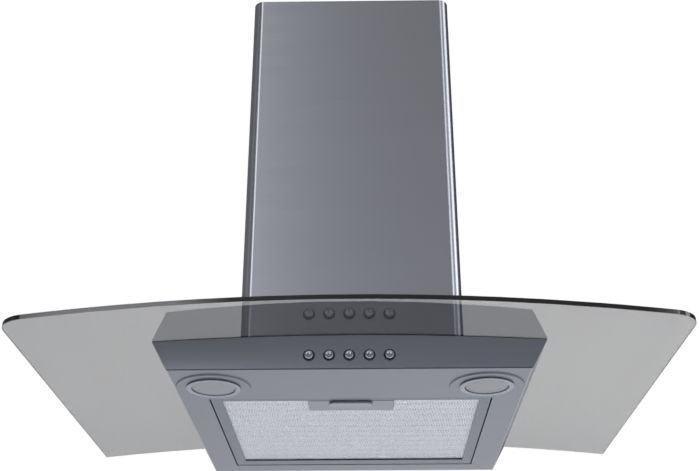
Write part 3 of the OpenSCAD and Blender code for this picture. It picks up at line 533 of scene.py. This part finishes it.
class HOOD_OT_filter(bpy.types.Operator):
    """The grease filter: pressed frame, expanded mesh over a knitted core, and its latch"""

    bl_idname = "hood.filter"
    bl_label = "Grease filter"

    def execute(self, context):
        # The frame colour is the mesh's aluminium darkened: painted shade on the frame.
        frame_metal = finish("mill-finish aluminium", rolled_metal, colours().filter_frame, (0.3, 0.4), 6.0, 0.06)
        refined("filter_frame", "filter_pressed_frame", frame_metal, "filter", "filter_aluminium", 0.4 * MM)
        strands = finish("expanded aluminium", rolled_metal, colours().mesh, (0.22, 0.36), 2.0, 0.06)
        lower = self.mesh("filter_mesh_lower")
        fit_out(lower, "expanded_mesh_lower", strands, "filter", "mesh_aluminium", "filter_mesh_lower")
        upper = self.mesh("filter_mesh_upper")
        fit_out(upper, "expanded_mesh_upper", strands, "filter", "mesh_aluminium", "filter_mesh_upper")
        # The core is drawn a tenth darker than the mesh over it: painted shade.
        paint(finish("knitted aluminium wire", knitted_wire, shade(colours().mesh, 0.9)), "filter_mesh_core")
        plate = finish("brushed aluminium, latch plate", brushed_stainless, linear("#777B84"), "Y", 0.05)
        refined("filter_latch_plate", "latch_plate", plate, "filter", "filter_aluminium", 0.3 * MM)
        grey = finish("grey ABS", moulded_plastic, linear("#7C8088"), (0.35, 0.45))
        refined("filter_latch", "latch_grip", grey, "latch", "latch_plastic", sizes().plastic_edge)
        coil_spring("latch_springs", "latch_return_springs", "filter")
        return {"FINISHED"}

    def mesh(self, node):
        """Expanded metal: one four-sided opening with its strands, repeated over the layer, then cut back
        round the latch plate."""
        low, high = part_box(node)
        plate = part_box("filter_latch_plate")
        long_way, short_way, strand = sizes().mesh_long, sizes().mesh_short, sizes().mesh_strand
        across = int((high.x - low.x) / short_way)
        along = int((high.y - low.y) / long_way)
        start = Vector(((low.x + high.x - (across - 1) * short_way) / 2,
                        (low.y + high.y - (along - 1) * long_way) / 2, (low.z + high.z) / 2))
        bpy.ops.object.select_all(action="DESELECT")
        bpy.ops.mesh.primitive_circle_add(vertices=4, radius=0.5, fill_type="NGON", location=start)
        piece = bpy.context.object
        bpy.ops.object.mode_set(mode="EDIT")
        bpy.ops.mesh.select_mode(type="FACE")
        bpy.ops.mesh.select_all(action="SELECT")
        bpy.ops.transform.resize(value=(short_way, long_way, 1.0), center_override=start)
        bpy.ops.mesh.inset(thickness=strand / 2, depth=0)
        bpy.ops.mesh.delete(type="FACE")
        end_edit()
        thick = 0.45 * MM
        rise = (high.z - low.z - thick) / 2
        for vertex in piece.data.vertices:
            vertex.co.z = rise if abs(vertex.co.x) > abs(vertex.co.y) * short_way / long_way else -rise
        apply_modifier(piece, "ARRAY", count=across, use_relative_offset=False, use_constant_offset=True,
                       constant_offset_displace=(short_way, 0, 0))
        apply_modifier(piece, "ARRAY", count=along, use_relative_offset=False, use_constant_offset=True,
                       constant_offset_displace=(0, long_way, 0))
        only(piece)
        bpy.ops.object.transform_apply(location=True, rotation=True, scale=True)
        start_edit()
        margin = 1.2 * MM
        pick_faces(lambda c, n: plate[0].x - margin < c.x < plate[1].x + margin and c.y < plate[1].y + margin)
        bpy.ops.mesh.delete(type="FACE")
        end_edit()
        apply_modifier(piece, "SOLIDIFY", thickness=thick, offset=0.0)
        return piece


class HOOD_OT_lamps(bpy.types.Operator):
    """Two round lamps: trim ring, domed glass, reflector, bulb and holder"""

    bl_idname = "hood.lamps"
    bl_label = "Lamps"

    def execute(self, context):
        # The trim ring and the lamp glass are drawn in the underside's darkened tone: painted shade, not their own
        # paler colour.
        trim = finish("satin chromed steel", rolled_metal, linear("#7B7E87"), (0.16, 0.24), 3.0, 0.05)
        glass = finish("frosted lamp glass", frosted_lamp_glass, linear("#797C85"))
        for side in ("left", "right"):
            self.trim_ring(side, trim)
            self.lens(side, glass)
            refined(f"lamp_reflector_{side}", f"reflector_dish_{side}", finish("bright-dipped aluminium",
                    rolled_metal, linear("#DADCDF"), (0.08, 0.16), 2.0, 0.04), "canopy", "reflector_bright")
            refined(f"lamp_bulb_{side}", f"halogen_capsule_{side}", finish("quartz glass", quartz_glass), "canopy",
                    "bulb_glass")
        paint(finish("steatite", steatite, linear("#DEDBD2")), "lamp_holder_left", "lamp_holder_right")
        return {"FINISHED"}

    def trim_ring(self, side, material):
        """A pressed ring with a rounded outer edge and a deep inner one, in which the glass sits back."""
        node = f"lamp_bezel_{side}"
        low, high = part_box(node)
        lens_low, lens_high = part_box(f"lamp_lens_{side}")
        outer = (high.x - low.x) / 2
        bore = (lens_high.x - lens_low.x) / 2 - 2.6 * MM
        down, top = low.z, high.z
        rest = down + 1.8 * MM
        roll = [(outer - 0.5 * MM + 0.5 * MM * math.cos(a), down + 0.5 * MM - 0.5 * MM * math.sin(a))
                for a in [math.radians(15 * i) for i in range(7)]]
        wall = outer - 1.8 * MM
        lip = [(bore + 0.7 * MM, down), (bore + 0.2 * MM, down + 0.15 * MM), (bore, down + 0.6 * MM), (bore, rest)]
        sleeve = [(wall - 1.5 * MM, rest), (wall - 1.5 * MM, top), (wall, top), (wall, rest)]
        profile = [(wall, rest), (outer, rest)] + roll + lip + sleeve
        piece = turned("ring", profile, 96)
        centre = (low + high) / 2
        piece.data.transform(Matrix.Translation((centre.x, centre.y, 0)))
        smooth(piece, 40)
        fit_out(piece, f"lamp_trim_{side}", material, "canopy", "lamp_trim", node)

    def lens(self, side, material):
        """The lamp's glass: a shallow dome with a stepped rim held behind the trim ring."""
        node = f"lamp_lens_{side}"
        low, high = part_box(node)
        rim = (high.x - low.x) / 2 - 0.2 * MM
        dome = sizes().lens_dome
        radius = rim - 2.9 * MM
        shoulder = low.z + dome
        curve = [(radius * math.sin(math.radians(a)), shoulder - dome * math.cos(math.radians(a)))
                 for a in range(84, 0, -7)]
        profile = [(1e-6, high.z), (rim, high.z), (rim, high.z - 1.4 * MM), (radius, high.z - 1.4 * MM),
                   (radius, shoulder)] + curve + [(0, low.z)]
        piece = turned("glass", profile, 96)
        centre = (low + high) / 2
        piece.data.transform(Matrix.Translation((centre.x, centre.y, 0)))
        smooth(piece, 40)
        fit_out(piece, f"lamp_glass_{side}", material, "canopy", "frosted_glass", node)


class HOOD_OT_flue(bpy.types.Operator):
    """The two telescoping sections of the flue"""

    bl_idname = "hood.flue"
    bl_label = "Flue"

    def execute(self, context):
        steel = finish("brushed stainless, flue", brushed_stainless, colours().flue, "Z", 0.04, (0.2, 0.26))
        refined("flue_lower", "flue_lower_section", steel, "canopy", "brushed_steel_flue", sizes().fold, 30.0)
        refined("flue_upper", "flue_upper_section", steel, "upper_flue", "brushed_steel_flue", sizes().fold, 30.0)
        return {"FINISHED"}


class HOOD_OT_blower(bpy.types.Operator):
    """The blower inside the flue: box, scroll, impeller, motor and outlet collar with its flaps"""

    bl_idname = "hood.blower"
    bl_label = "Blower"

    def execute(self, context):
        zinc = finish("galvanised sheet", galvanised_sheet, linear("#A7ABAE"))
        paint(zinc, "blower_box", "scroll_left", "scroll_right", "inlet_ring", "wall_bracket")
        paint(finish("chromed steel"), "motor_screws")
        paint(finish("zinc-plated steel"), "blower_screws")
        paint(finish("black polyamide"), "outlet_collar", "damper_flap_left", "damper_flap_right", "impeller",
              "terminal_box", "cable_gland")
        paint(finish("black enamelled steel", moulded_plastic, linear("#242527"), (0.25, 0.35), 1.5), "motor_body",
              "motor_end_cap")
        paint(finish("laminated steel", rolled_metal, linear("#77797C"), (0.35, 0.5), 1.0, 0.15), "motor_rotor")
        paint(finish("sintered bronze", rolled_metal, linear("#A8844E"), (0.4, 0.5), 0.6, 0.15), "motor_bearings")
        paint(finish("ground steel", rolled_metal, linear("#B3B5B8"), (0.12, 0.2), 1.0, 0.05), "motor_shaft",
              "damper_pins")
        return {"FINISHED"}


class HOOD_OT_stage(bpy.types.Operator):
    """Floor, softbox, bright surroundings and the camera"""

    bl_idname = "hood.stage"
    bl_label = "Stage"

    def execute(self, context):
        self.floor()
        self.surroundings(context.scene)
        self.light("overhead", (1.3, 1.9, 3.2), 3.2, 385)
        camera = bpy.data.cameras.new("camera")
        camera.sensor_width = 36.0
        camera.lens = 56.06
        camera.shift_x = -0.0071
        camera.shift_y = 0.0119
        holder = bpy.data.objects.new("camera", camera)
        context.scene.collection.objects.link(holder)
        turn = (Matrix.Rotation(math.radians(0.63), 4, "Z") @ Matrix.Rotation(math.radians(90 + 26.119), 4, "X")
                @ Matrix.Rotation(math.radians(-0.195), 4, "Z"))
        holder.matrix_world = Matrix.Translation((0.0179, -1.5110, -0.6294)) @ turn
        context.scene.camera = holder
        context.scene.view_settings.view_transform = "Standard"
        return {"FINISHED"}

    def floor(self):
        """A pale floor with a rounded rise at its far edge, well below the hood."""
        bpy.ops.object.select_all(action="DESELECT")
        bpy.ops.mesh.primitive_plane_add(size=9.0, location=(0, 0, -1.4))
        floor = bpy.context.object
        bpy.ops.object.mode_set(mode="EDIT")
        bpy.ops.mesh.subdivide(number_cuts=8)
        end_edit()
        only(floor)
        bpy.ops.object.transform_apply(location=True, rotation=True, scale=True)
        floor.name = floor.data.name = "studio_floor"
        floor.data.materials.append(finish("painted floor", painted_floor, colours().floor))

    # brightness of the studio round the hood, by degrees to the right of straight in front of it
    ROOM = ((-180, 0.09), (-75, 0.09), (-62, 0.17), (-50, 0.08), (-27, 0.09), (-23, 0.95), (-14, 0.95), (-10, 0.18),
            (0, 0.13), (12, 0.12), (22, 0.12), (25, 0.95), (32, 0.95), (35, 0.2), (62, 0.22), (64, 1.0), (86, 1.0),
            (90, 0.04), (150, 0.04), (180, 0.09))

    def fill_ramp(self, ramp, stops):
        """Sets the ramp's stops from (degrees, brightness)."""
        while len(ramp.elements) > 1:
            ramp.elements.remove(ramp.elements[0])
        ramp.elements[0].position = 0.0
        for degrees, level in stops:
            element = ramp.elements.new((degrees + 180) / 360)
            element.color = (level, level, level, 1.0)
        ramp.elements.remove(ramp.elements[0])

    def surroundings(self, scene):
        """Plain white behind the hood. For reflections, a dim studio with tall strip lights: one just left of the
        camera, a narrow and a wide one on the right, and a pale floor all round."""
        world = bpy.data.worlds.new("studio")
        scene.world = world
        world.use_nodes = True
        tree = world.node_tree
        tree.nodes.clear()
        way = add_node(tree, "ShaderNodeTexCoord").outputs["Generated"]
        split = add_node(tree, "ShaderNodeSeparateXYZ", {"Vector": way})
        front = add_node(tree, "ShaderNodeMath", {0: split.outputs["Y"], 1: -1.0}, operation="MULTIPLY")
        turn = add_node(tree, "ShaderNodeMath", {0: split.outputs["X"], 1: front.outputs[0]}, operation="ARCTAN2")
        around = add_node(tree, "ShaderNodeMapRange", {"Value": turn.outputs[0], "From Min": -math.pi,
                                                       "From Max": math.pi})
        ring = add_node(tree, "ShaderNodeValToRGB", {"Fac": around.outputs[0]})
        self.fill_ramp(ring.color_ramp, self.ROOM)
        higher = add_node(tree, "ShaderNodeMapRange", {"Value": split.outputs["Z"], "From Min": 0.3, "From Max": 0.65,
                                                       "To Min": 2.6, "To Max": 1.95})
        level = add_node(tree, "ShaderNodeMath", {0: ring.outputs["Color"], 1: higher.outputs[0]},
                         operation="MULTIPLY")
        below = add_node(tree, "ShaderNodeMapRange", {"Value": split.outputs["Z"], "From Min": 0.02, "From Max": -0.1,
                                                      "To Min": 0.0, "To Max": 1.0}, interpolation_type="SMOOTHSTEP")
        level = add_node(tree, "ShaderNodeMix", {0: below.outputs[0], 2: level.outputs[0], 3: 0.95},
                         data_type="FLOAT")
        room = add_node(tree, "ShaderNodeBackground", {"Color": linear("#F5F6FC"), "Strength": level.outputs[0]})
        white = add_node(tree, "ShaderNodeBackground", {"Color": (1, 1, 1, 1), "Strength": 1.0})
        path = add_node(tree, "ShaderNodeLightPath")
        seen = add_node(tree, "ShaderNodeMath", {0: path.outputs["Is Camera Ray"],
                                                 1: path.outputs["Is Transmission Ray"]}, operation="MAXIMUM")
        both = add_node(tree, "ShaderNodeMixShader", {0: seen.outputs[0], 1: room.outputs[0], 2: white.outputs[0]})
        add_node(tree, "ShaderNodeOutputWorld", {"Surface": both.outputs[0]})

    def light(self, name, place, size, watts):
        """A square softbox that faces the hood. Glass and steel don't mirror it."""
        data = bpy.data.lights.new(name, "AREA")
        data.size = size
        data.energy = watts
        light = bpy.data.objects.new(name, data)
        bpy.context.scene.collection.objects.link(light)
        light.visible_glossy = False
        place = Vector(place)
        aim = Vector((0, -0.2, -0.1)) - place
        light.matrix_world = Matrix.Translation(place) @ aim.to_track_quat("-Z", "Y").to_matrix().to_4x4()


class HOOD_PT_panel(bpy.types.Panel):
    """Lists the sizes, the colours and the operators"""

    bl_label = "Range hood"
    bl_idname = "HOOD_PT_panel"
    bl_space_type = "VIEW_3D"
    bl_region_type = "UI"
    bl_category = "Range hood"

    def draw(self, context):
        for group in (context.scene.hood_sizes, context.scene.hood_colours):
            for name in group.__annotations__:
                self.layout.prop(group, name)
        for operator in OPERATORS:
            self.layout.operator(operator.bl_idname)


OPERATORS = (HOOD_OT_glass, HOOD_OT_body, HOOD_OT_buttons, HOOD_OT_filter, HOOD_OT_lamps, HOOD_OT_flue,
             HOOD_OT_blower, HOOD_OT_stage)
CLASSES = (HoodSizes, HoodColours, *OPERATORS, HOOD_PT_panel)


def register():
    for made in CLASSES:
        bpy.utils.register_class(made)
    bpy.types.Scene.hood_sizes = PointerProperty(type=HoodSizes)
    bpy.types.Scene.hood_colours = PointerProperty(type=HoodColours)


def unregister():
    del bpy.types.Scene.hood_colours
    del bpy.types.Scene.hood_sizes
    for made in reversed(CLASSES):
        bpy.utils.unregister_class(made)


def main():
    """Makes every piece and the stage."""
    register()
    bpy.ops.hood.glass()
    bpy.ops.hood.body()
    bpy.ops.hood.buttons()
    bpy.ops.hood.filter()
    bpy.ops.hood.lamps()
    bpy.ops.hood.flue()
    bpy.ops.hood.blower()
    bpy.ops.hood.stage()


if __name__ == "__main__":
    main()
